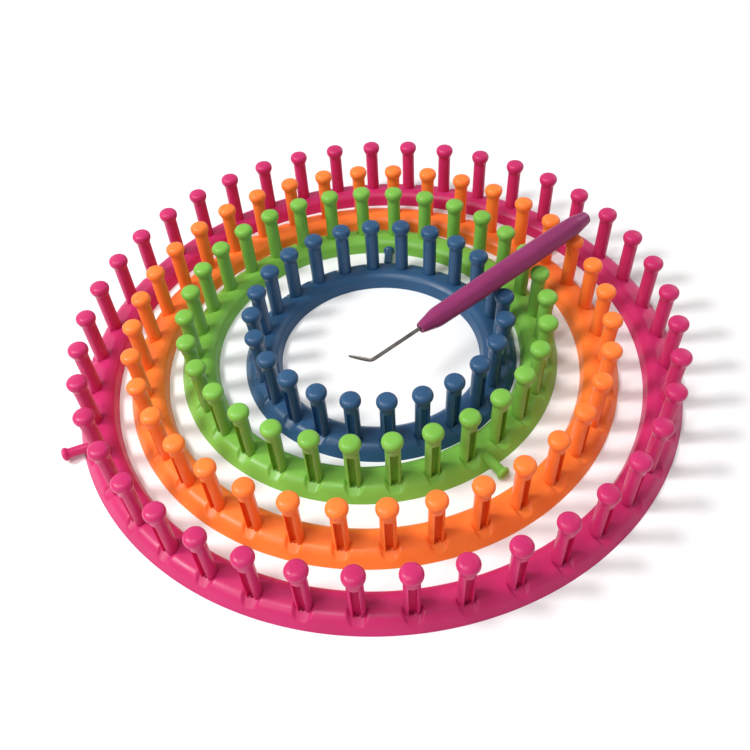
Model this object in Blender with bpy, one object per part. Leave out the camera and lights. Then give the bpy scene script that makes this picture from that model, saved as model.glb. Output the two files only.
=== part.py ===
"""Set of four nested round knitting looms and the hook that lifts stitches over their pegs.

Metres, +Z up. The origin is on the table at the centre of the largest loom. Each loom is a low
moulded ring with an open underside. Its pegs stand in seats round the ring, with the working
groove facing outward, and one short anchor peg sticks out of the side. The hook lies across
the knobs of the three inner looms.
"""

import math

import bmesh
import bpy
from mathutils import Matrix, Vector

# Each loom: pegs, radius of the peg circle, centre on the table, angle of the first peg and of
# the anchor peg in degrees from +X, and how many runs its pegs are joined into (0: none).
LOOMS = {
    "pink": dict(pegs=41, radius=0.1375, centre=(0.0, 0.0), first=88.23, anchor=-161.17, runs=9),
    "orange": dict(pegs=36, radius=0.1113, centre=(-0.0025, 0.0027), first=80.86, anchor=35.8, runs=9),
    "green": dict(pegs=31, radius=0.0855, centre=(-0.0043, 0.0086), first=77.55, anchor=-57.0, runs=8),
    "blue": dict(pegs=24, radius=0.0597, centre=(0.0014, 0.0049), first=90.68, anchor=83.3, runs=0),
}

# Section of every ring: distance out from the peg circle, and height above the table.
RING_SECTION = (
    (-0.0108, 0.0),  # inner foot
    (-0.0093, 0.0050),  # crease above the inner flank
    (-0.0060, 0.0074),  # crown
    (0.0034, 0.0061),  # crease above the outer flank
    (0.0073, 0.0),  # outer foot
    (0.0053, 0.0),  # from here back to the start: the open underside
    (0.0040, 0.0026),
    (-0.0076, 0.0046),
    (-0.0088, 0.0),
)

# Each peg leans outward a little, about the middle of its knob, which stays on the peg circle.
PEG_LEAN = 1.8
PEG_RADIUS = 0.0034
PEG_FOOT_Z = 0.0016
GROOVE_DEPTH = 0.0020
GROOVE_TOP_Z = 0.0269
NECK_Z = 0.0285
KNOB_RADIUS = 0.0047
KNOB_Z = 0.0324
KNOB_TOP_RADIUS = 0.0032
KNOB_TOP_Z = 0.0352

SEAT_RADIUS = 0.0038
SEAT_FLOOR_Z = 0.0045
SEAT_REACH = 0.0090
CUT_BOTTOM_Z = -0.0010
CUT_TOP_Z = 0.0100

# The strip that joins the feet of a run of pegs, inside the ring's open underside.
STRIP_HALF_WIDTH = 0.0033
STRIP_BOTTOM_Z = 0.0010
STRIP_TOP_Z = 0.0022
STRIP_OVERHANG = 0.0040

ANCHOR_Z = 0.0042
ANCHOR_RADIUS = 0.0023
ANCHOR_SEAT_RADIUS = 0.0027
ANCHOR_SEAT_START = 0.0026
# Radius along the anchor peg, by distance out from the peg circle.
ANCHOR_PROFILE = (
    (0.0030, ANCHOR_RADIUS),
    (0.0132, ANCHOR_RADIUS),
    (0.0144, 0.0031),
    (0.0156, 0.0027),
    (0.0164, 0.0014),
)

HOOK_FRONT = (0.0193, -0.0193)
HOOK_HEADING = 38.1
HOOK_REST_GAP = 0.0003
# The six-sided handle: half its width across flats, by distance from its front end.
HANDLE_NOSE = (0.0, 0.0025)
HANDLE_SHOULDER = (0.0100, 0.0045)
HANDLE_HEEL = (0.1000, 0.0054)
HANDLE_TAIL = (0.1120, 0.0029)
HANDLE_BORE_RADIUS = 0.0014
HANDLE_BORE_DEPTH = 0.0300

# The needle: it reaches this far out of the handle to its bend, which tips it up and sideways.
NEEDLE_RADIUS = 0.00090
NEEDLE_TANG = 0.0280
NEEDLE_REACH = 0.0286
NEEDLE_BEND_RADIUS = 0.0050
NEEDLE_BEND = 40.0
NEEDLE_ROLL = 30.0
NEEDLE_TIP_LENGTH = 0.0120
NEEDLE_TIP_RADIUS = 0.0006
NEEDLE_SIDES = 8
NEEDLE_BEND_STEPS = 3

PLASTICS = {
    "pink": (0.80, 0.045, 0.22),
    "orange": (1.00, 0.22, 0.035),
    "green": (0.16, 0.50, 0.05),
    "blue": (0.027, 0.11, 0.26),
    "purple": (0.32, 0.06, 0.21),
}
STEEL = (0.45, 0.42, 0.40)

SHARP_ANGLE = 35.0


def clear_scene():
    """Remove the objects of the scene that the script starts in."""
    for obj in list(bpy.data.objects):
        bpy.data.objects.remove(obj, do_unlink=True)


def make_material(name, color, roughness, metallic):
    material = bpy.data.materials.new(name)
    material.use_nodes = True
    shader = material.node_tree.nodes["Principled BSDF"]
    shader.inputs["Base Color"].default_value = (*color, 1.0)
    shader.inputs["Roughness"].default_value = roughness
    shader.inputs["Metallic"].default_value = metallic
    return material


def shade(mesh):
    """Smooth the round stretches and keep the real edges sharp."""
    mesh.shade_smooth()
    mesh.set_sharp_from_angle(angle=math.radians(SHARP_ANGLE))


def make_object(name, bm, material, parent=None):
    """Turn a bmesh into a named object, with its faces pointing out."""
    bmesh.ops.recalc_face_normals(bm, faces=bm.faces)
    mesh = bpy.data.meshes.new(name)
    bm.to_mesh(mesh)
    bm.free()
    shade(mesh)
    mesh.materials.append(material)
    obj = bpy.data.objects.new(name, mesh)
    bpy.context.collection.objects.link(obj)
    obj.parent = parent
    return obj


def make_empty(name, location, rise=0.0, heading=0.0):
    """Empty whose +X points along the heading and climbs at the rise, both in radians."""
    empty = bpy.data.objects.new(name, None)
    empty.location = location
    empty.rotation_euler = (0.0, -rise, heading)
    bpy.context.collection.objects.link(empty)
    return empty


def boolean(obj, cutter, operation):
    """Join the cutter to the object or cut it away, and remove the cutter."""
    modifier = obj.modifiers.new("boolean", "BOOLEAN")
    modifier.operation = operation
    modifier.solver = "EXACT"
    modifier.object = cutter
    depsgraph = bpy.context.evaluated_depsgraph_get()
    mesh = bpy.data.meshes.new_from_object(obj.evaluated_get(depsgraph))
    obj.modifiers.clear()
    shade(mesh)
    obj.data = mesh
    bpy.data.objects.remove(cutter, do_unlink=True)


def add_loft(bm, loops, closed=False):
    """Skin a row of equal loops of points; the ends are capped, or joined when closed."""
    rows = [[bm.verts.new(point) for point in loop] for loop in loops]
    pairs = list(zip(rows, rows[1:]))
    if closed:
        pairs.append((rows[-1], rows[0]))
    else:
        bm.faces.new(reversed(rows[0]))
        bm.faces.new(rows[-1])
    for low, high in pairs:
        for i in range(len(low)):
            j = (i + 1) % len(low)
            bm.faces.new((low[i], low[j], high[j], high[i]))


def hexagon(radius, z):
    """Six points round a peg axis, with one flat facing outward along +X."""
    angles = (math.radians(60 * i - 30) for i in range(6))
    return [Vector((radius * math.cos(a), radius * math.sin(a), z)) for a in angles]


def polar(radius, angle, z=0.0):
    return Vector((radius * math.cos(angle), radius * math.sin(angle), z))


def peg_pitch(loom):
    return 2.0 * math.pi / loom["pegs"]


def peg_matrix(loom, index):
    """Place of a peg in its loom: its knob on the peg circle, its +X pointing outward."""
    angle = math.radians(loom["first"]) + index * peg_pitch(loom)
    turn = Matrix.Rotation(angle, 4, "Z")
    knob = Matrix.Translation((loom["radius"], 0.0, KNOB_Z))
    lean = Matrix.Rotation(math.radians(PEG_LEAN), 4, "Y")
    return turn @ knob @ lean @ Matrix.Translation((0.0, 0.0, -KNOB_Z))


def feet_radius(loom):
    """Radius of the circle that the feet of the leaning pegs stand on."""
    return loom["radius"] - (KNOB_Z - STRIP_TOP_Z) * math.tan(math.radians(PEG_LEAN))


def add_peg(bm, place):
    """Add one peg: a hexagonal shaft with the outward groove, and its knob."""
    foot = hexagon(PEG_RADIUS, PEG_FOOT_Z)
    lip_low, lip_high = foot[0], foot[1]
    depth = Vector((-GROOVE_DEPTH, 0.0, 0.0))
    foot_loop = [lip_low, lip_low + depth, lip_high + depth, lip_high] + foot[2:]
    rise = Vector((0.0, 0.0, GROOVE_TOP_Z - PEG_FOOT_Z))
    stacks = (
        hexagon(PEG_RADIUS, NECK_Z),
        hexagon(KNOB_RADIUS, KNOB_Z),
        hexagon(KNOB_TOP_RADIUS, KNOB_TOP_Z),
    )
    low = [bm.verts.new(place @ p) for p in foot_loop]
    top = [bm.verts.new(place @ (p + rise)) for p in foot_loop[:4]]
    neck, knob, crown = ([bm.verts.new(place @ p) for p in loop] for loop in stacks)
    bm.faces.new(reversed(low))
    for i in range(3):
        bm.faces.new((low[i], low[i + 1], top[i + 1], top[i]))
    bm.faces.new(top)
    bm.faces.new((top[0], top[3], neck[1], neck[0]))
    bm.faces.new((low[3], low[4], neck[2], neck[1], top[3]))
    for i in range(2, 5):
        bm.faces.new((low[i + 2], low[i + 3], neck[i + 1], neck[i]))
    bm.faces.new((low[7], low[0], top[0], neck[0], neck[5]))
    for under, over in ((neck, knob), (knob, crown)):
        for i in range(6):
            j = (i + 1) % 6
            bm.faces.new((under[i], under[j], over[j], over[i]))
    bm.faces.new(crown)


def add_seat_cutter(bm, place):
    """Cutter for one peg seat: a hole for the foot, and a notch above it that opens outward."""
    plan = hexagon(SEAT_RADIUS, 0.0)
    half_width = SEAT_RADIUS
    outer = (Vector((SEAT_REACH, -half_width, 0.0)), Vector((SEAT_REACH, half_width, 0.0)))

    def level(points, z):
        return [bm.verts.new(place @ Vector((p.x, p.y, z))) for p in points]

    bottom = level(plan, CUT_BOTTOM_Z)
    floor = level(plan[:3] + plan[5:], SEAT_FLOOR_Z)
    low_right, low_left, side_left, side_right = floor
    floor_outer = level(outer, SEAT_FLOOR_Z)
    inner_top = level(plan[2:], CUT_TOP_Z)
    outer_top = level(outer, CUT_TOP_Z)
    bm.faces.new(reversed(bottom))
    bm.faces.new((bottom[0], bottom[1], low_left, low_right))
    bm.faces.new((bottom[1], bottom[2], side_left, low_left))
    bm.faces.new((bottom[5], bottom[0], low_right, side_right))
    bm.faces.new((side_right, low_right, low_left, side_left, floor_outer[1], floor_outer[0]))
    bm.faces.new((bottom[2], bottom[3], inner_top[1], inner_top[0], side_left))
    bm.faces.new((bottom[3], bottom[4], inner_top[2], inner_top[1]))
    bm.faces.new((bottom[4], bottom[5], side_right, inner_top[3], inner_top[2]))
    bm.faces.new((side_left, inner_top[0], outer_top[1], floor_outer[1]))
    bm.faces.new((inner_top[3], side_right, floor_outer[0], outer_top[0]))
    bm.faces.new((floor_outer[0], floor_outer[1], outer_top[1], outer_top[0]))
    bm.faces.new(inner_top + outer_top)


def anchor_matrix(loom):
    """Place of the anchor peg: its +Z along the outward direction, measured from the circle."""
    turn = Matrix.Rotation(math.radians(loom["anchor"]), 4, "Z")
    shift = Matrix.Translation((loom["radius"], 0.0, ANCHOR_Z))
    return turn @ shift @ Matrix.Rotation(math.pi / 2.0, 4, "Y")


def make_ring(name, loom, material, parent):
    """The ring: its section swept round in one step per peg, with the seats cut out."""
    bm = bmesh.new()
    pitch = peg_pitch(loom)
    loops = []
    for i in range(loom["pegs"]):
        angle = math.radians(loom["first"]) + (i + 0.5) * pitch
        loops.append([polar(loom["radius"] + out, angle, z) for out, z in RING_SECTION])
    add_loft(bm, loops, closed=True)
    ring = make_object(name, bm, material, parent)

    cutters = bmesh.new()
    for i in range(loom["pegs"]):
        add_seat_cutter(cutters, peg_matrix(loom, i))
    place = anchor_matrix(loom)
    ends = (ANCHOR_SEAT_START, SEAT_REACH)
    add_loft(cutters, [[place @ p for p in hexagon(ANCHOR_SEAT_RADIUS, z)] for z in ends])
    cutter = make_object(name + "_cutter", cutters, material, parent)
    boolean(ring, cutter, "DIFFERENCE")
    return ring


def make_anchor(name, loom, material, parent):
    bm = bmesh.new()
    place = anchor_matrix(loom)
    add_loft(bm, [[place @ p for p in hexagon(r, z)] for z, r in ANCHOR_PROFILE])
    return make_object(name, bm, material, parent)


def make_peg(name, loom, index, material, parent):
    """One peg as an object of its own, standing at its own place in the loom."""
    bm = bmesh.new()
    add_peg(bm, Matrix.Identity(4))
    peg = make_object(name, bm, material, parent)
    peg.matrix_local = peg_matrix(loom, index)
    return peg


def make_peg_run(name, loom, first, count, material, parent):
    """Neighbouring pegs, joined at their feet by a strip hidden under the ring's deck."""
    pitch = peg_pitch(loom)
    start = math.radians(loom["first"]) + first * pitch
    overhang = STRIP_OVERHANG / loom["radius"]
    angles = [start - overhang]
    angles += [start + (i + 0.5) * pitch for i in range(count - 1)]
    angles += [start + (count - 1) * pitch + overhang]
    inner = feet_radius(loom) - STRIP_HALF_WIDTH
    outer = feet_radius(loom) + STRIP_HALF_WIDTH
    bm = bmesh.new()
    corners = (
        (inner, STRIP_BOTTOM_Z),
        (outer, STRIP_BOTTOM_Z),
        (outer, STRIP_TOP_Z),
        (inner, STRIP_TOP_Z),
    )
    add_loft(bm, [[polar(r, a, z) for r, z in corners] for a in angles])
    run = make_object(name, bm, material, parent)

    pegs = bmesh.new()
    for i in range(first, first + count):
        add_peg(pegs, peg_matrix(loom, i))
    boolean(run, make_object(name + "_pegs", pegs, material, parent), "UNION")
    return run


def run_lengths(pegs, runs):
    """Share the pegs of a loom out over its runs as evenly as they go."""
    return [pegs // runs + (1 if i < pegs % runs else 0) for i in range(runs)]


def make_loom(color, loom, material):
    """One whole loom under an empty at its centre, which is where it lifts."""
    centre = make_empty(color + "_loom", (*loom["centre"], 0.0))
    make_ring(color + "_ring", loom, material, centre)
    make_anchor(color + "_anchor_peg", loom, material, centre)
    if not loom["runs"]:
        for i in range(loom["pegs"]):
            make_peg(f"{color}_peg_{i + 1:02d}", loom, i, material, centre)
        return
    first = 0
    for number, count in enumerate(run_lengths(loom["pegs"], loom["runs"]), start=1):
        make_peg_run(f"{color}_peg_run_{number}", loom, first, count, material, centre)
        first += count


def hook_place():
    """Front centre of the handle and its rise, so that its underside lies level on the knobs."""
    length = HANDLE_HEEL[0] - HANDLE_SHOULDER[0]
    rise = math.atan2(HANDLE_HEEL[1] - HANDLE_SHOULDER[1], length)
    shoulder_z = KNOB_TOP_Z + HOOK_REST_GAP + HANDLE_SHOULDER[1]
    return (*HOOK_FRONT, shoulder_z - HANDLE_SHOULDER[0] * math.tan(rise)), rise


def handle_loop(distance, half_flats):
    """Six-sided loop across the handle at a distance along +X, one flat side down."""
    radius = half_flats / math.cos(math.pi / 6.0)
    angles = (math.radians(60 * i) for i in range(6))
    return [Vector((distance, radius * math.cos(a), radius * math.sin(a))) for a in angles]


def make_handle(material, parent):
    """Handle with a tapered nose and tail, and the blind bore that holds the needle."""
    bore = HANDLE_BORE_RADIUS * math.cos(math.pi / 6.0)
    sections = (
        (HANDLE_BORE_DEPTH, bore),
        (0.0, bore),
        HANDLE_NOSE,
        HANDLE_SHOULDER,
        HANDLE_HEEL,
        HANDLE_TAIL,
    )
    bm = bmesh.new()
    add_loft(bm, [handle_loop(*section) for section in sections])
    return make_object("hook_handle", bm, material, parent)


def needle_stations():
    """Centre line of the needle from its tang to its tip: point, direction and radius."""
    roll = math.radians(NEEDLE_ROLL)
    bend = math.radians(NEEDLE_BEND)
    forward = Vector((-1.0, 0.0, 0.0))
    side = Vector((0.0, math.sin(roll), math.cos(roll)))
    start = forward * (NEEDLE_REACH - NEEDLE_BEND_RADIUS * math.tan(bend / 2.0))
    stations = [(-forward * NEEDLE_TANG, forward, NEEDLE_RADIUS)]
    for i in range(NEEDLE_BEND_STEPS + 1):
        a = bend * i / NEEDLE_BEND_STEPS
        shift = forward * math.sin(a) + side * (1.0 - math.cos(a))
        along = forward * math.cos(a) + side * math.sin(a)
        stations.append((start + NEEDLE_BEND_RADIUS * shift, along, NEEDLE_RADIUS))
    tip = forward * NEEDLE_REACH + along * NEEDLE_TIP_LENGTH
    stations.append((tip, along, NEEDLE_TIP_RADIUS))
    return stations


def make_needle(material, parent):
    """Steel needle, bent up near its tip, which picks the stitch off the peg."""
    turns = [2.0 * math.pi * i / NEEDLE_SIDES for i in range(NEEDLE_SIDES)]
    loops = []
    for point, along, radius in needle_stations():
        across = along.to_track_quat("Z", "Y").to_matrix()
        loops.append([point + across @ polar(radius, turn) for turn in turns])
    bm = bmesh.new()
    add_loft(bm, loops)
    return make_object("hook_needle", bm, material, parent)


def main():
    clear_scene()
    plastics = {c: make_material(c + "_plastic", rgb, 0.35, 0.0) for c, rgb in PLASTICS.items()}
    steel = make_material("steel", STEEL, 0.25, 1.0)
    for color, loom in LOOMS.items():
        make_loom(color, loom, plastics[color])
    hook = make_empty("hook", *hook_place(), heading=math.radians(HOOK_HEADING))
    make_handle(plastics["purple"], hook)
    make_needle(steel, hook)
    bpy.context.view_layer.update()


main()
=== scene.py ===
"""Looks of the nested round knitting looms and their hook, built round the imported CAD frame.

Metres, in the frame's own coordinates: +Z up, origin on the table at the centre of the largest
loom. Every CAD node is replaced by a finer piece in the same place: rings with scooped peg
notches, grooved pegs with turned knobs, and a hook with softened edges.
"""

import math

import bpy
import numpy as np
from mathutils import Matrix, Vector


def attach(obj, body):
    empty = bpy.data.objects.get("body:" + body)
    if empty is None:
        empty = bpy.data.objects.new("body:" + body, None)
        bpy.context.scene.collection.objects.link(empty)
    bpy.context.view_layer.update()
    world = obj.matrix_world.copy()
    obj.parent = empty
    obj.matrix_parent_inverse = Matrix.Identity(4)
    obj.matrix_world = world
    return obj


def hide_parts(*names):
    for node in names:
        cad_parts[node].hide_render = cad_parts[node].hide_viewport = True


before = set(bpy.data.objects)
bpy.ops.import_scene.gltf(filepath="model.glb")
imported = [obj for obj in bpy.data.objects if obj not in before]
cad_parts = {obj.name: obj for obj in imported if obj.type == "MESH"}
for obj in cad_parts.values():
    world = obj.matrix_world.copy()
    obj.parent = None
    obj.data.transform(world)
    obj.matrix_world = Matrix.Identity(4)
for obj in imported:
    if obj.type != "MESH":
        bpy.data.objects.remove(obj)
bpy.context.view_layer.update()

# ---------------------------------------------------------------- driving dimensions, as in the CAD

# Each loom: pegs, radius of the peg circle, centre on the table, angle of the first peg and of
# the anchor peg in degrees from +X, and how many CAD runs its pegs are in (0: one node a peg).
LOOMS = {
    "pink": dict(pegs=41, radius=0.1375, centre=(0.0, 0.0), first=88.23, anchor=-161.17, runs=9),
    "orange": dict(pegs=36, radius=0.1113, centre=(-0.0025, 0.0027), first=80.86, anchor=35.8, runs=9),
    "green": dict(pegs=31, radius=0.0855, centre=(-0.0043, 0.0086), first=77.55, anchor=-57.0, runs=8),
    "blue": dict(pegs=24, radius=0.0597, centre=(0.0014, 0.0049), first=90.68, anchor=83.3, runs=0),
}

# Ring section: distance out from the peg circle, height, and how far the corner is rounded.
RING_TOP = (
    (-0.0108, 0.0, 0.0003),  # inner foot
    (-0.0093, 0.0050, 0.0030),  # crease above the inner flank
    (-0.0060, 0.0074, 0.0060),  # crown
    (0.0034, 0.0061, 0.0064),  # crease above the outer flank
    (0.0073, 0.0, 0.0003),  # outer foot
)
RING_UNDER = (
    (0.0053, 0.0, 0.0003),
    (0.0040, 0.0026, 0.0006),
    (-0.0076, 0.0046, 0.0008),
    (-0.0088, 0.0, 0.0003),
)

# The scoop at each peg's outer foot: a gently falling floor, steep sides that close in a U on
# the outer flank, and a small pit at the foot of the groove. Lengths from the peg circle.
NOTCH_FLOOR_Z = 0.0047
NOTCH_FALL_START = 0.0015
NOTCH_FALL = 0.50
NOTCH_HALF_TOP = 0.0043
NOTCH_WALL = 0.0016
NOTCH_CLOSE_START = 0.0014
NOTCH_CLOSE_END = 0.0067
NOTCH_BACK = -0.0014
NOTCH_BACK_RUN = 0.0008
NOTCH_HOLLOW = 40.0
NOTCH_BLEND = 0.00030
PIT_OUT = 0.0009
PIT_RADIUS = 0.00060
PIT_DEPTH = 0.0009
PIT_FLAT = 0.45

# Each peg leans outward a little, about the middle of its knob, which stays on the peg circle.
PEG_LEAN = 1.8
PEG_RADIUS = 0.0034
PEG_FOOT_Z = 0.0038
GROOVE_TOP_Z = 0.0267
GROOVE_END = 0.00014
GROOVE_HALF_ANGLE = 30.0
# Half of the groove's section: distance out from the peg axis, and across it.
GROOVE_HALF = (
    (0.00090, 0.00045),
    (0.00094, 0.00122),
    (0.00115, 0.00146),
    (0.00180, 0.00156),
    (0.00285, 0.00163),
)
PEG_ARC_STEPS = 36
# Rows of faces up the shaft that are cut by the groove, its upper end included.
GROOVE_ROWS = 3
# Radius and height up the knob.
KNOB_PROFILE = (
    (0.00340, 0.02730),
    (0.00341, 0.02810),
    (0.00346, 0.02880),
    (0.00363, 0.02950),
    (0.00396, 0.03020),
    (0.00433, 0.03090),
    (0.00460, 0.03165),
    (0.00470, 0.03240),
    (0.00464, 0.03310),
    (0.00440, 0.03375),
    (0.00398, 0.03430),
    (0.00336, 0.03468),
    (0.00255, 0.03494),
    (0.00160, 0.03507),
    (0.00065, 0.03513),
)
KNOB_MIDDLE_Z = 0.0324
KNOB_TOP_Z = 0.0352

ANCHOR_Z = 0.0042
# Distance out from the peg circle, and radius.
ANCHOR_PROFILE = (
    (0.0030, 0.00230),
    (0.0068, 0.00230),
    (0.0128, 0.00226),
    (0.0134, 0.00240),
    (0.0139, 0.00282),
    (0.0144, 0.00310),
    (0.0149, 0.00316),
    (0.0154, 0.00300),
    (0.0159, 0.00250),
    (0.0162, 0.00190),
    (0.0164, 0.00110),
)
ANCHOR_SIDES = 32

HOOK_FRONT = (0.0193, -0.0193)
HOOK_HEADING = 38.1
HOOK_REST_GAP = 0.0003
HANDLE_SHOULDER = (0.0100, 0.0045)
HANDLE_HEEL = (0.1000, 0.0054)
# Distance from the front end, and half the width across flats.
HANDLE_PROFILE = (
    (0.00000, 0.00190),
    (0.00000, 0.00225),
    (0.00012, 0.00242),
    (0.00050, 0.00255),
    (0.00160, 0.00282),
    (0.00340, 0.00322),
    (0.00560, 0.00368),
    (0.00740, 0.00412),
    (0.00880, 0.00442),
    (0.00980, 0.00456),
    (0.01120, 0.00462),
    (0.01700, 0.00468),
    (0.02800, 0.00480),
    (0.04500, 0.00510),
    (0.06200, 0.00522),
    (0.07900, 0.00520),
    (0.09000, 0.00500),
    (0.09800, 0.00480),
    (0.10330, 0.00468),
    (0.10365, 0.00464),
    (0.10400, 0.00457),
    (0.10800, 0.00388),
    (0.11180, 0.00322),
    (0.11195, 0.00318),
    (0.11200, 0.00312),
)
HANDLE_EDGE = 0.40
HANDLE_EDGE_STEPS = 8

NEEDLE_RADIUS = 0.00088
NEEDLE_TANG = 0.0020
NEEDLE_REACH = 0.0286
NEEDLE_BEND_RADIUS = 0.0050
NEEDLE_BEND = 40.0
NEEDLE_ROLL = 30.0
NEEDLE_TIP_LENGTH = 0.0120
NEEDLE_SIDES = 24
NEEDLE_BEND_STEPS = 12
# Share of the tip's length and of the needle's radius.
NEEDLE_TIP = ((0.35, 1.0), (0.6, 0.9), (0.8, 0.74), (0.93, 0.6), (0.985, 0.42), (1.0, 0.18))

SMOOTH_ANGLE = 32.0
# The most of a side that the arc at one of its corners may take.
ARC_SHARE = 0.48

# ---------------------------------------------------------------- mesh helpers


def make_piece(name, verts, faces, material, body, nodes):
    """Mesh piece in the frame's coordinates that rides on a body and stands for CAD nodes."""
    mesh = bpy.data.meshes.new(name)
    mesh.from_pydata([tuple(v) for v in verts], [], faces)
    mesh.validate()
    mesh.shade_smooth()
    mesh.set_sharp_from_angle(angle=math.radians(SMOOTH_ANGLE))
    mesh.materials.append(material)
    obj = bpy.data.objects.new(name, mesh)
    bpy.context.scene.collection.objects.link(obj)
    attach(obj, body)
    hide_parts(*nodes)
    return obj


def loft_faces(rows, sides, closed=False):
    """Faces between equal loops of points laid one after the other, capped at the two ends."""
    faces = []
    for row in range(rows if closed else rows - 1):
        low = row * sides
        high = (row + 1) % rows * sides
        for i in range(sides):
            j = (i + 1) % sides
            faces.append((low + i, low + j, high + j, high + i))
    if not closed:
        faces.append(tuple(reversed(range(sides))))
        faces.append(tuple(range((rows - 1) * sides, rows * sides)))
    return faces


def rounded_path(corners, steps):
    """Polyline through (x, z, radius) corners with each inner corner turned into an arc."""
    points = [Vector(corners[0][:2])]
    for before, corner, after in zip(corners, corners[1:], corners[2:]):
        here = Vector(corner[:2])
        back = Vector(before[:2]) - here
        ahead = Vector(after[:2]) - here
        half = back.angle(ahead) / 2.0
        reach = min(corner[2] / math.tan(half), ARC_SHARE * back.length, ARC_SHARE * ahead.length)
        start = here + back.normalized() * reach
        end = here + ahead.normalized() * reach
        for i in range(steps + 1):
            t = i / steps
            points.append(start * (1 - t) ** 2 + here * 2 * t * (1 - t) + end * t**2)
    points.append(Vector(corners[-1][:2]))
    return points


def smooth_step(low, high, value):
    t = np.clip((value - low) / (high - low), 0.0, 1.0)
    return t * t * (3.0 - 2.0 * t)


def place_matrix(loom, angle):
    """Frame at a point of the peg circle: +X outward, +Z up."""
    centre = Matrix.Translation((*loom["centre"], 0.0))
    return centre @ Matrix.Rotation(angle, 4, "Z") @ Matrix.Translation((loom["radius"], 0.0, 0.0))


def peg_angle(loom, index):
    return math.radians(loom["first"]) + index * 2.0 * math.pi / loom["pegs"]


def peg_matrix(loom, index):
    """Frame of a peg, which leans outward about the middle of its knob."""
    knob = Matrix.Translation((0.0, 0.0, KNOB_MIDDLE_Z))
    lean = Matrix.Rotation(math.radians(PEG_LEAN), 4, "Y")
    return place_matrix(loom, peg_angle(loom, index)) @ knob @ lean @ knob.inverted()


# ---------------------------------------------------------------- rings

RING_CORNER_STEPS = 6
UNDER_CORNER_STEPS = 2
CROWN_STEPS = 4
FOOT_EDGE = 0.0001
NOTCH_ROW = 0.00030
# Distance along the ring from a peg axis, up to where the half pitch takes over.
NOTCH_COLUMNS = (
    0.0, 0.0002, 0.0004, 0.0006, 0.0009, 0.0012, 0.0015, 0.0018, 0.0021, 0.0024, 0.0027, 0.0029,
    0.0031, 0.0033, 0.0035, 0.0037, 0.0039, 0.0041, 0.0044, 0.0050,
)
PAD_STEPS = 3


def ring_rows():
    """The ring's section as (distance out, height) rows: over the top, then back underneath."""
    top = rounded_path(RING_TOP, RING_CORNER_STEPS)
    out = np.array([p.x for p in top])
    height = np.array([p.y for p in top])
    foot = RING_TOP[-1][0]
    dense = np.arange(NOTCH_BACK - NOTCH_ROW, foot - NOTCH_ROW, NOTCH_ROW)
    inner = [(x, z) for x, z in zip(out, height) if x < dense[0] - NOTCH_ROW]
    middle = np.linspace(inner[-1][0], dense[0], CROWN_STEPS + 1)[1:-1]
    places = (*middle, *dense, foot - FOOT_EDGE)
    rows = inner + [(x, float(np.interp(x, out, height))) for x in places]
    rows.append((foot, 0.0))
    under = [(p.x, p.y) for p in rounded_path(RING_UNDER, UNDER_CORNER_STEPS)]
    return rows, under


def ring_columns(half_pitch):
    """Distances along the ring across one pitch, from one half pitch to just before the other."""
    last = NOTCH_COLUMNS[-1]
    side = list(NOTCH_COLUMNS)
    side += [last + (half_pitch - last) * i / PAD_STEPS for i in range(1, PAD_STEPS + 1)]
    return [-s for s in reversed(side)] + side[1:-1]


def notch_depth(out, along, height):
    """How far the scoop in front of a peg lowers the ring's top at these points."""
    fall = np.maximum(out - NOTCH_FALL_START, 0.0) * NOTCH_FALL
    floor = NOTCH_FLOOR_Z - fall + NOTCH_HOLLOW * along**2
    over = height - floor
    depth = 0.5 * (over + np.sqrt(over**2 + NOTCH_BLEND**2)) - 0.5 * NOTCH_BLEND
    depth = np.maximum(depth, 0.0)
    close = np.clip((out - NOTCH_CLOSE_START) / (NOTCH_CLOSE_END - NOTCH_CLOSE_START), 0.0, 1.0)
    half = NOTCH_HALF_TOP * np.sqrt(1.0 - close**2)
    t = np.clip((half - np.abs(along)) / NOTCH_WALL, 0.0, 1.0)
    side = 0.5 * (t + smooth_step(0.0, 1.0, t))
    back = smooth_step(NOTCH_BACK, NOTCH_BACK + NOTCH_BACK_RUN, out)
    away = np.hypot(out - PIT_OUT, along) / PIT_RADIUS
    pit = PIT_DEPTH * (1.0 - smooth_step(PIT_FLAT, 1.0, away))
    return depth * side * back + pit


def make_ring(color, loom, material):
    """One ring: its section swept round, with a scoop cut in front of every peg."""
    rows, under = ring_rows()
    pitch = 2.0 * math.pi / loom["pegs"]
    columns = np.array(ring_columns(0.5 * pitch * loom["radius"]))
    out = np.array([x for x, _ in rows])[None, :]
    height = np.array([z for _, z in rows])[None, :]
    along = columns[:, None]
    top_z = np.where(out > NOTCH_BACK, height - notch_depth(out, along, height), height + 0.0 * along)
    top_z = np.maximum(top_z, 0.0)
    under_out = np.array([x for x, _ in under])
    under_z = np.array([z for _, z in under])
    radii = np.concatenate([out[0], under_out]) + loom["radius"]
    profile = np.concatenate([top_z, np.tile(under_z, (len(columns), 1))], axis=1)
    verts = []
    for index in range(loom["pegs"]):
        angles = peg_angle(loom, index) + columns / loom["radius"]
        x = loom["centre"][0] + np.cos(angles)[:, None] * radii[None, :]
        y = loom["centre"][1] + np.sin(angles)[:, None] * radii[None, :]
        verts.append(np.stack([x, y, profile], axis=-1).reshape(-1, 3))
    verts = np.concatenate(verts)
    faces = loft_faces(loom["pegs"] * len(columns), len(radii), closed=True)
    name = f"{color}_ring_body"
    body = f"{color}_loom"
    return make_piece(name, verts, faces, material, body, [f"{color}_ring"])


# ---------------------------------------------------------------- pegs


def arc_points(radius, z):
    """Points round the back of the shaft, from one lip of the groove to the other."""
    start = math.radians(GROOVE_HALF_ANGLE)
    sweep = 2.0 * math.pi - 2.0 * start
    turns = [start + sweep * i / PEG_ARC_STEPS for i in range(PEG_ARC_STEPS + 1)]
    return [Vector((radius * math.cos(a), radius * math.sin(a), z)) for a in turns]


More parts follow.
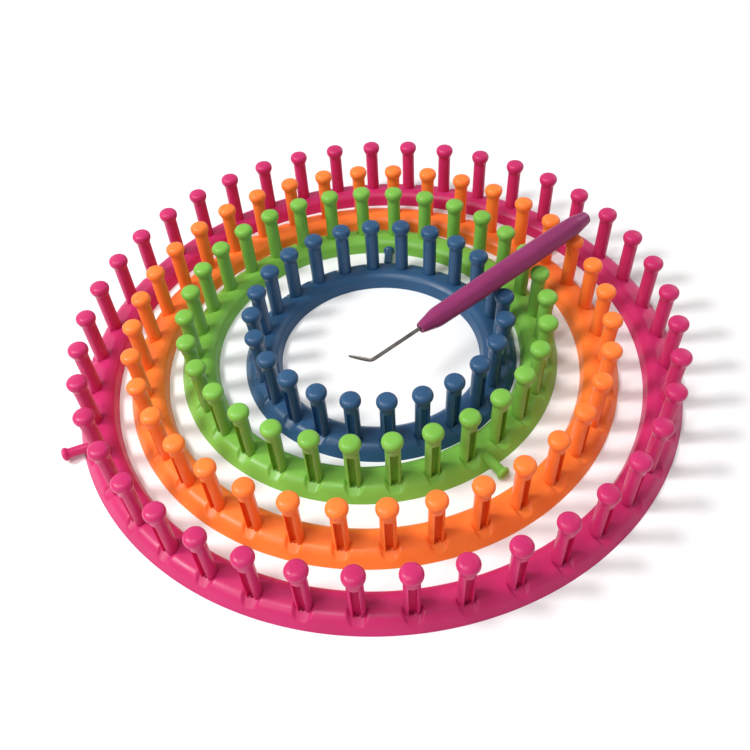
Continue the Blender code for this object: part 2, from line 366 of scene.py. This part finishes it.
def groove_loop(z):
    """Loop of the grooved shaft, starting at one lip of the groove and going round the back."""
    section = [(x, -y) for x, y in reversed(GROOVE_HALF)] + list(GROOVE_HALF)
    return arc_points(PEG_RADIUS, z) + [Vector((x, y, z)) for x, y in section]


def round_loop(radius, z):
    """Loop with the same count of points as the grooved one, all on a circle."""
    start = math.radians(GROOVE_HALF_ANGLE)
    count = 2 * len(GROOVE_HALF)
    turns = [-start + 2.0 * start * (i + 1) / (count + 1) for i in range(count)]
    front = [Vector((radius * math.cos(a), radius * math.sin(a), z)) for a in turns]
    return arc_points(radius, z) + front


def peg_mesh():
    """One peg standing at the origin with its groove toward +X: points and faces."""
    loops = [groove_loop(z) for z in (PEG_FOOT_Z, 0.5 * (PEG_FOOT_Z + GROOVE_TOP_Z), GROOVE_TOP_Z)]
    loops.append(round_loop(PEG_RADIUS, GROOVE_TOP_Z + GROOVE_END))
    loops += [round_loop(radius, z) for radius, z in KNOB_PROFILE]
    sides = len(loops[0])
    faces = loft_faces(len(loops), sides)
    faces.pop()
    verts = [p for loop in loops for p in loop]
    apex = len(verts)
    verts.append(Vector((0.0, 0.0, KNOB_TOP_Z)))
    last = apex - sides
    faces += [(last + i, last + (i + 1) % sides, apex) for i in range(sides)]
    return verts, faces


def in_groove(face_index, sides):
    """Whether this face of a peg, in the order they are lofted, lies in the groove."""
    row, side = divmod(face_index, sides)
    return row < GROOVE_ROWS and side >= PEG_ARC_STEPS


def make_pegs(name, color, loom, indices, node, materials):
    """One piece with the pegs of a CAD node: the shaft and knob, and the duller groove, whose colour is
    painted shade.
    """
    shape, shape_faces = peg_mesh()
    sides = len(groove_loop(0.0))
    verts = []
    faces = []
    for index in indices:
        place = peg_matrix(loom, index)
        base = len(verts)
        verts += [place @ p for p in shape]
        faces += [tuple(base + i for i in face) for face in shape_faces]
    plastic, groove = materials
    obj = make_piece(name, verts, faces, plastic, f"{color}_loom", [node])
    # The groove material's colour is painted shade for light bouncing inside the channel.
    obj.data.materials.append(groove)
    for polygon in obj.data.polygons:
        polygon.material_index = int(in_groove(polygon.index % len(shape_faces), sides))
    return obj


def run_lengths(pegs, runs):
    """The pegs of a loom shared out over its CAD runs."""
    return [pegs // runs + (1 if i < pegs % runs else 0) for i in range(runs)]


def make_loom_pegs(color, loom, materials):
    if not loom["runs"]:
        for i in range(loom["pegs"]):
            number = f"{i + 1:02d}"
            make_pegs(f"{color}_peg_body_{number}", color, loom, [i], f"{color}_peg_{number}", materials)
        return
    first = 0
    for number, count in enumerate(run_lengths(loom["pegs"], loom["runs"]), start=1):
        indices = range(first, first + count)
        make_pegs(f"{color}_pegs_{number}", color, loom, indices, f"{color}_peg_run_{number}", materials)
        first += count


def make_anchor(color, loom, material):
    """Short anchor peg that sticks out of the side of the ring."""
    place = place_matrix(loom, math.radians(loom["anchor"]))
    place = place @ Matrix.Translation((0.0, 0.0, ANCHOR_Z))
    turns = [2.0 * math.pi * i / ANCHOR_SIDES for i in range(ANCHOR_SIDES)]
    verts = []
    for out, radius in ANCHOR_PROFILE:
        verts += [place @ Vector((out, radius * math.cos(a), radius * math.sin(a))) for a in turns]
    faces = loft_faces(len(ANCHOR_PROFILE), ANCHOR_SIDES)
    name = f"{color}_anchor_body"
    node = f"{color}_anchor_peg"
    return make_piece(name, verts, faces, material, f"{color}_loom", [node])


# ---------------------------------------------------------------- hook


def hook_matrix():
    """Frame of the hook: its origin at the handle's front, +X along the handle to its tail."""
    length = HANDLE_HEEL[0] - HANDLE_SHOULDER[0]
    rise = math.atan2(HANDLE_HEEL[1] - HANDLE_SHOULDER[1], length)
    shoulder_z = KNOB_TOP_Z + HOOK_REST_GAP + HANDLE_SHOULDER[1]
    z = shoulder_z - HANDLE_SHOULDER[0] * math.tan(rise)
    turn = Matrix.Rotation(math.radians(HOOK_HEADING), 4, "Z") @ Matrix.Rotation(-rise, 4, "Y")
    return Matrix.Translation((*HOOK_FRONT, z)) @ turn


def handle_loop(distance, half_flats):
    """Six-sided loop with rounded edges, one flat side down."""
    radius = half_flats / math.cos(math.pi / 6.0)
    corners = [
        Vector((radius * math.cos(math.radians(60 * i)), radius * math.sin(math.radians(60 * i))))
        for i in range(6)
    ]
    points = []
    for i in range(6):
        here = corners[i]
        start = here.lerp(corners[i - 1], HANDLE_EDGE)
        end = here.lerp(corners[(i + 1) % 6], HANDLE_EDGE)
        for step in range(HANDLE_EDGE_STEPS + 1):
            t = step / HANDLE_EDGE_STEPS
            p = start * (1 - t) ** 2 + here * 2 * t * (1 - t) + end * t**2
            points.append(Vector((distance, p.x, p.y)))
    return points


def make_handle(material):
    place = hook_matrix()
    loops = [handle_loop(*station) for station in HANDLE_PROFILE]
    verts = [place @ p for loop in loops for p in loop]
    faces = loft_faces(len(loops), len(loops[0]))
    return make_piece("hook_grip", verts, faces, material, "hook", ["hook_handle"])


def needle_stations():
    """Centre line of the needle from its tang to its tip: point, direction and radius."""
    roll = math.radians(NEEDLE_ROLL)
    bend = math.radians(NEEDLE_BEND)
    forward = Vector((-1.0, 0.0, 0.0))
    side = Vector((0.0, math.sin(roll), math.cos(roll)))
    run = NEEDLE_REACH - NEEDLE_BEND_RADIUS * math.tan(bend / 2.0)
    stations = [(forward * x, forward, NEEDLE_RADIUS) for x in (-NEEDLE_TANG, 0.0, 0.5 * run)]
    for i in range(NEEDLE_BEND_STEPS + 1):
        a = bend * i / NEEDLE_BEND_STEPS
        shift = forward * math.sin(a) + side * (1.0 - math.cos(a))
        along = forward * math.cos(a) + side * math.sin(a)
        stations.append((forward * run + NEEDLE_BEND_RADIUS * shift, along, NEEDLE_RADIUS))
    corner = forward * NEEDLE_REACH
    end = forward * math.cos(bend) + side * math.sin(bend)
    for share, size in NEEDLE_TIP:
        stations.append((corner + end * NEEDLE_TIP_LENGTH * share, end, NEEDLE_RADIUS * size))
    return stations


def make_needle(material):
    place = hook_matrix()
    turns = [2.0 * math.pi * i / NEEDLE_SIDES for i in range(NEEDLE_SIDES)]
    verts = []
    stations = needle_stations()
    for point, along, radius in stations:
        across = along.to_track_quat("Z", "Y").to_matrix()
        for a in turns:
            spoke = Vector((radius * math.cos(a), radius * math.sin(a), 0.0))
            verts.append(place @ (point + across @ spoke))
    faces = loft_faces(len(stations), NEEDLE_SIDES)
    return make_piece("hook_wire", verts, faces, material, "hook", ["hook_needle"])


# ---------------------------------------------------------------- materials

# Deep, usual and pale shade of each plastic.
PLASTICS = {
    "pink": ((0.497, 0.0213, 0.119), (0.526, 0.0240, 0.132), (0.556, 0.0272, 0.146)),
    "orange": ((0.965, 0.188, 0.0310), (0.985, 0.208, 0.0350), (1.0, 0.229, 0.0395)),
    "green": ((0.173, 0.419, 0.055), (0.189, 0.449, 0.064), (0.206, 0.480, 0.073)),
    "blue": ((0.0235, 0.0760, 0.163), (0.0264, 0.0832, 0.177), (0.0296, 0.0910, 0.192)),
    "purple": ((0.235, 0.026, 0.115), (0.262, 0.030, 0.128), (0.290, 0.035, 0.142)),
}

# Roughness from the glossiest to the dullest spots, and the reflection's strength.
PLASTIC_GLOSS = (0.28, 0.38)
PLASTIC_SPECULAR = 0.25
# Share of the light that passes under the skin, and how far its red, green and blue get.
PLASTIC_GLOW = 0.30
PLASTIC_GLOW_RADIUS = (0.0040, 0.0015, 0.0012)

# Deep, usual and pale shade of the needle's steel, and its roughness.
STEEL = ((0.20, 0.17, 0.16), (0.36, 0.33, 0.31), (0.52, 0.49, 0.47))
STEEL_GLOSS = (0.13, 0.26)

FLOOR_SHADES = (0.88, 0.90)

# Noise scales, a metre: pigment, gloss and skin of the plastics, stains and grain of the steel.
CLOUD_SCALE = 45.0
GLOSS_SCALE = 210.0
SKIN_SCALE = 1400.0
STAIN_SCALE = 160.0
GRAIN_SCALE = 2600.0
FLOOR_SCALE = 6.0

# The grooves are duller, and their colour is painted shade: a purer copy of the same plastic, darker or
# lighter per loom, for light bouncing inside the channel, by this factor on its strongest channel and
# this power on the weaker ones.
GROOVE_PAINTED_SHADE_GAINS = {"pink": 1.05, "orange": 0.85, "green": 0.90, "blue": 1.7}
GROOVE_PAINTED_SHADE_PURITY = 0.22
GROOVE_GLOSS = (0.45, 0.60)
GROOVE_SPECULAR = 0.06


def painted_groove_shade(shade, painted_gain):
    """Painted shade: the same pigment made purer, standing in for light that bounces from wall to wall
    of a narrow channel.
    """
    top = max(shade)
    return [min(1.0, painted_gain * value * (value / top) ** GROOVE_PAINTED_SHADE_PURITY) for value in shade]


def new_material(name):
    material = bpy.data.materials.new(name)
    material.use_nodes = True
    tree = material.node_tree
    return material, tree, tree.nodes["Principled BSDF"]


def add_noise(tree, scale, detail):
    """Noise over the object's own coordinates, in metres."""
    noise = tree.nodes.new("ShaderNodeTexNoise")
    noise.inputs["Scale"].default_value = scale
    noise.inputs["Detail"].default_value = detail
    coords = tree.nodes.get("Texture Coordinate") or tree.nodes.new("ShaderNodeTexCoord")
    tree.links.new(coords.outputs["Object"], noise.inputs["Vector"])
    return noise


def add_ramp(tree, source, stops):
    ramp = tree.nodes.new("ShaderNodeValToRGB")
    elements = ramp.color_ramp.elements
    while len(elements) < len(stops):
        elements.new(0.5)
    for element, (position, color) in zip(elements, stops):
        element.position = position
        element.color = (*color, 1.0)
    tree.links.new(source, ramp.inputs["Fac"])
    return ramp


def add_grey_ramp(tree, source, low, high):
    """Ramp for a plain number, between the middle values of a noise."""
    return add_ramp(tree, source, ((0.3, (low,) * 3), (0.7, (high,) * 3)))


def add_bump(tree, shader, noise, strength, distance):
    bump = tree.nodes.new("ShaderNodeBump")
    bump.inputs["Strength"].default_value = strength
    bump.inputs["Distance"].default_value = distance
    tree.links.new(noise.outputs["Fac"], bump.inputs["Height"])
    tree.links.new(bump.outputs["Normal"], shader.inputs["Normal"])


def make_plastic(name, shades, gloss_range=PLASTIC_GLOSS, specular=PLASTIC_SPECULAR):
    """Moulded plastic: cloudy pigment, a fine skin and gloss that comes and goes."""
    deep, body, pale = shades
    material, tree, shader = new_material(name)
    cloud = add_noise(tree, CLOUD_SCALE, 4.0)
    tint = add_ramp(tree, cloud.outputs["Fac"], ((0.32, deep), (0.5, body), (0.70, pale)))
    tree.links.new(tint.outputs["Color"], shader.inputs["Base Color"])
    gloss = add_noise(tree, GLOSS_SCALE, 5.0)
    rough = add_grey_ramp(tree, gloss.outputs["Fac"], *gloss_range)
    tree.links.new(rough.outputs["Color"], shader.inputs["Roughness"])
    add_bump(tree, shader, add_noise(tree, SKIN_SCALE, 3.0), 0.10, 0.0002)
    shader.inputs["Specular IOR Level"].default_value = specular
    shader.inputs["Subsurface Weight"].default_value = PLASTIC_GLOW
    shader.inputs["Subsurface Radius"].default_value = PLASTIC_GLOW_RADIUS
    shader.inputs["Subsurface Scale"].default_value = 1.0
    return material


def make_steel(name):
    """Drawn steel wire: fine lines along it and faint dark staining."""
    material, tree, shader = new_material(name)
    stain = add_noise(tree, STAIN_SCALE, 6.0)
    deep, body, pale = STEEL
    tint = add_ramp(tree, stain.outputs["Fac"], ((0.3, deep), (0.55, body), (0.8, pale)))
    tree.links.new(tint.outputs["Color"], shader.inputs["Base Color"])
    grain = add_noise(tree, GRAIN_SCALE, 4.0)
    rough = add_grey_ramp(tree, grain.outputs["Fac"], *STEEL_GLOSS)
    tree.links.new(rough.outputs["Color"], shader.inputs["Roughness"])
    add_bump(tree, shader, grain, 0.08, 0.0001)
    shader.inputs["Metallic"].default_value = 1.0
    return material


def make_floor_material():
    material, tree, shader = new_material("pale_floor")
    noise = add_noise(tree, FLOOR_SCALE, 2.0)
    tint = add_grey_ramp(tree, noise.outputs["Fac"], *FLOOR_SHADES)
    tree.links.new(tint.outputs["Color"], shader.inputs["Base Color"])
    shader.inputs["Roughness"].default_value = 0.9
    shader.inputs["Specular IOR Level"].default_value = 0.1
    return material


# ---------------------------------------------------------------- camera, lights and floor

CAMERA_AT = (-0.00216, -0.29561, 0.31182)
CAMERA_ELEVATION = 47.429
CAMERA_ROLL = -3.7554
CAMERA_LENS = 41.744
SENSOR = 36.0

FLOOR_SIZE = 6.0

LIGHT_DISTANCE = 1.4
# Azimuth from +X, elevation, width across and power in watts.
LIGHTS = {
    "key": (185.0, 49.0, 0.32, 12.5),
    "overhead": (225.0, 72.0, 0.30, 5.0),
    "front_fill": (225.0, 42.0, 0.60, 3.6),
    "right_fill": (38.0, 26.0, 0.80, 3.2),
    "back_fill": (135.0, 28.0, 0.80, 1.7),
}
WORLD_STRENGTH = 0.44


def make_camera():
    data = bpy.data.cameras.new("camera")
    data.lens = CAMERA_LENS
    data.sensor_width = SENSOR
    data.clip_start = 0.01
    data.clip_end = 20.0
    camera = bpy.data.objects.new("camera", data)
    bpy.context.scene.collection.objects.link(camera)
    tilt = Matrix.Rotation(math.radians(90.0 - CAMERA_ELEVATION), 4, "X")
    roll = Matrix.Rotation(math.radians(CAMERA_ROLL), 4, "Z")
    camera.matrix_world = Matrix.Translation(CAMERA_AT) @ tilt @ roll
    bpy.context.scene.camera = camera


def make_floor():
    half = FLOOR_SIZE / 2.0
    verts = [(-half, -half, 0.0), (half, -half, 0.0), (half, half, 0.0), (-half, half, 0.0)]
    mesh = bpy.data.meshes.new("floor")
    mesh.from_pydata(verts, [], [(0, 1, 2, 3)])
    mesh.materials.append(make_floor_material())
    floor = bpy.data.objects.new("floor", mesh)
    bpy.context.scene.collection.objects.link(floor)


def make_area_light(name, azimuth, elevation, size, power):
    """Round area light aimed at the table's centre from this direction."""
    a = math.radians(azimuth)
    e = math.radians(elevation)
    toward = Vector((math.cos(e) * math.cos(a), math.cos(e) * math.sin(a), math.sin(e)))
    data = bpy.data.lights.new(name, "AREA")
    data.shape = "DISK"
    data.size = size
    data.energy = power
    light = bpy.data.objects.new(name, data)
    light.location = toward * LIGHT_DISTANCE
    light.rotation_euler = toward.to_track_quat("Z", "Y").to_euler()
    bpy.context.scene.collection.objects.link(light)


def make_world(strength):
    world = bpy.data.worlds.new("studio")
    bpy.context.scene.world = world
    world.use_nodes = True
    background = world.node_tree.nodes["Background"]
    background.inputs["Color"].default_value = (1.0, 1.0, 1.0, 1.0)
    background.inputs["Strength"].default_value = strength


def main():
    for color, loom in LOOMS.items():
        material = make_plastic(f"{color}_plastic", PLASTICS[color])
        # The groove colour is painted shade: a purer, darker or lighter copy of the plastic for light
        # bouncing inside the channel.
        groove_painted_shades = [painted_groove_shade(shade, GROOVE_PAINTED_SHADE_GAINS[color]) for shade in PLASTICS[color]]
        groove = make_plastic(f"{color}_groove", groove_painted_shades, GROOVE_GLOSS, GROOVE_SPECULAR)
        make_ring(color, loom, material)
        make_loom_pegs(color, loom, (material, groove))
        make_anchor(color, loom, material)
    make_handle(make_plastic("purple_plastic", PLASTICS["purple"]))
    make_needle(make_steel("needle_steel"))
    make_camera()
    make_floor()
    for name, setting in LIGHTS.items():
        make_area_light(name, *setting)
    make_world(WORLD_STRENGTH)
    bpy.context.scene.view_settings.view_transform = "Standard"


main()
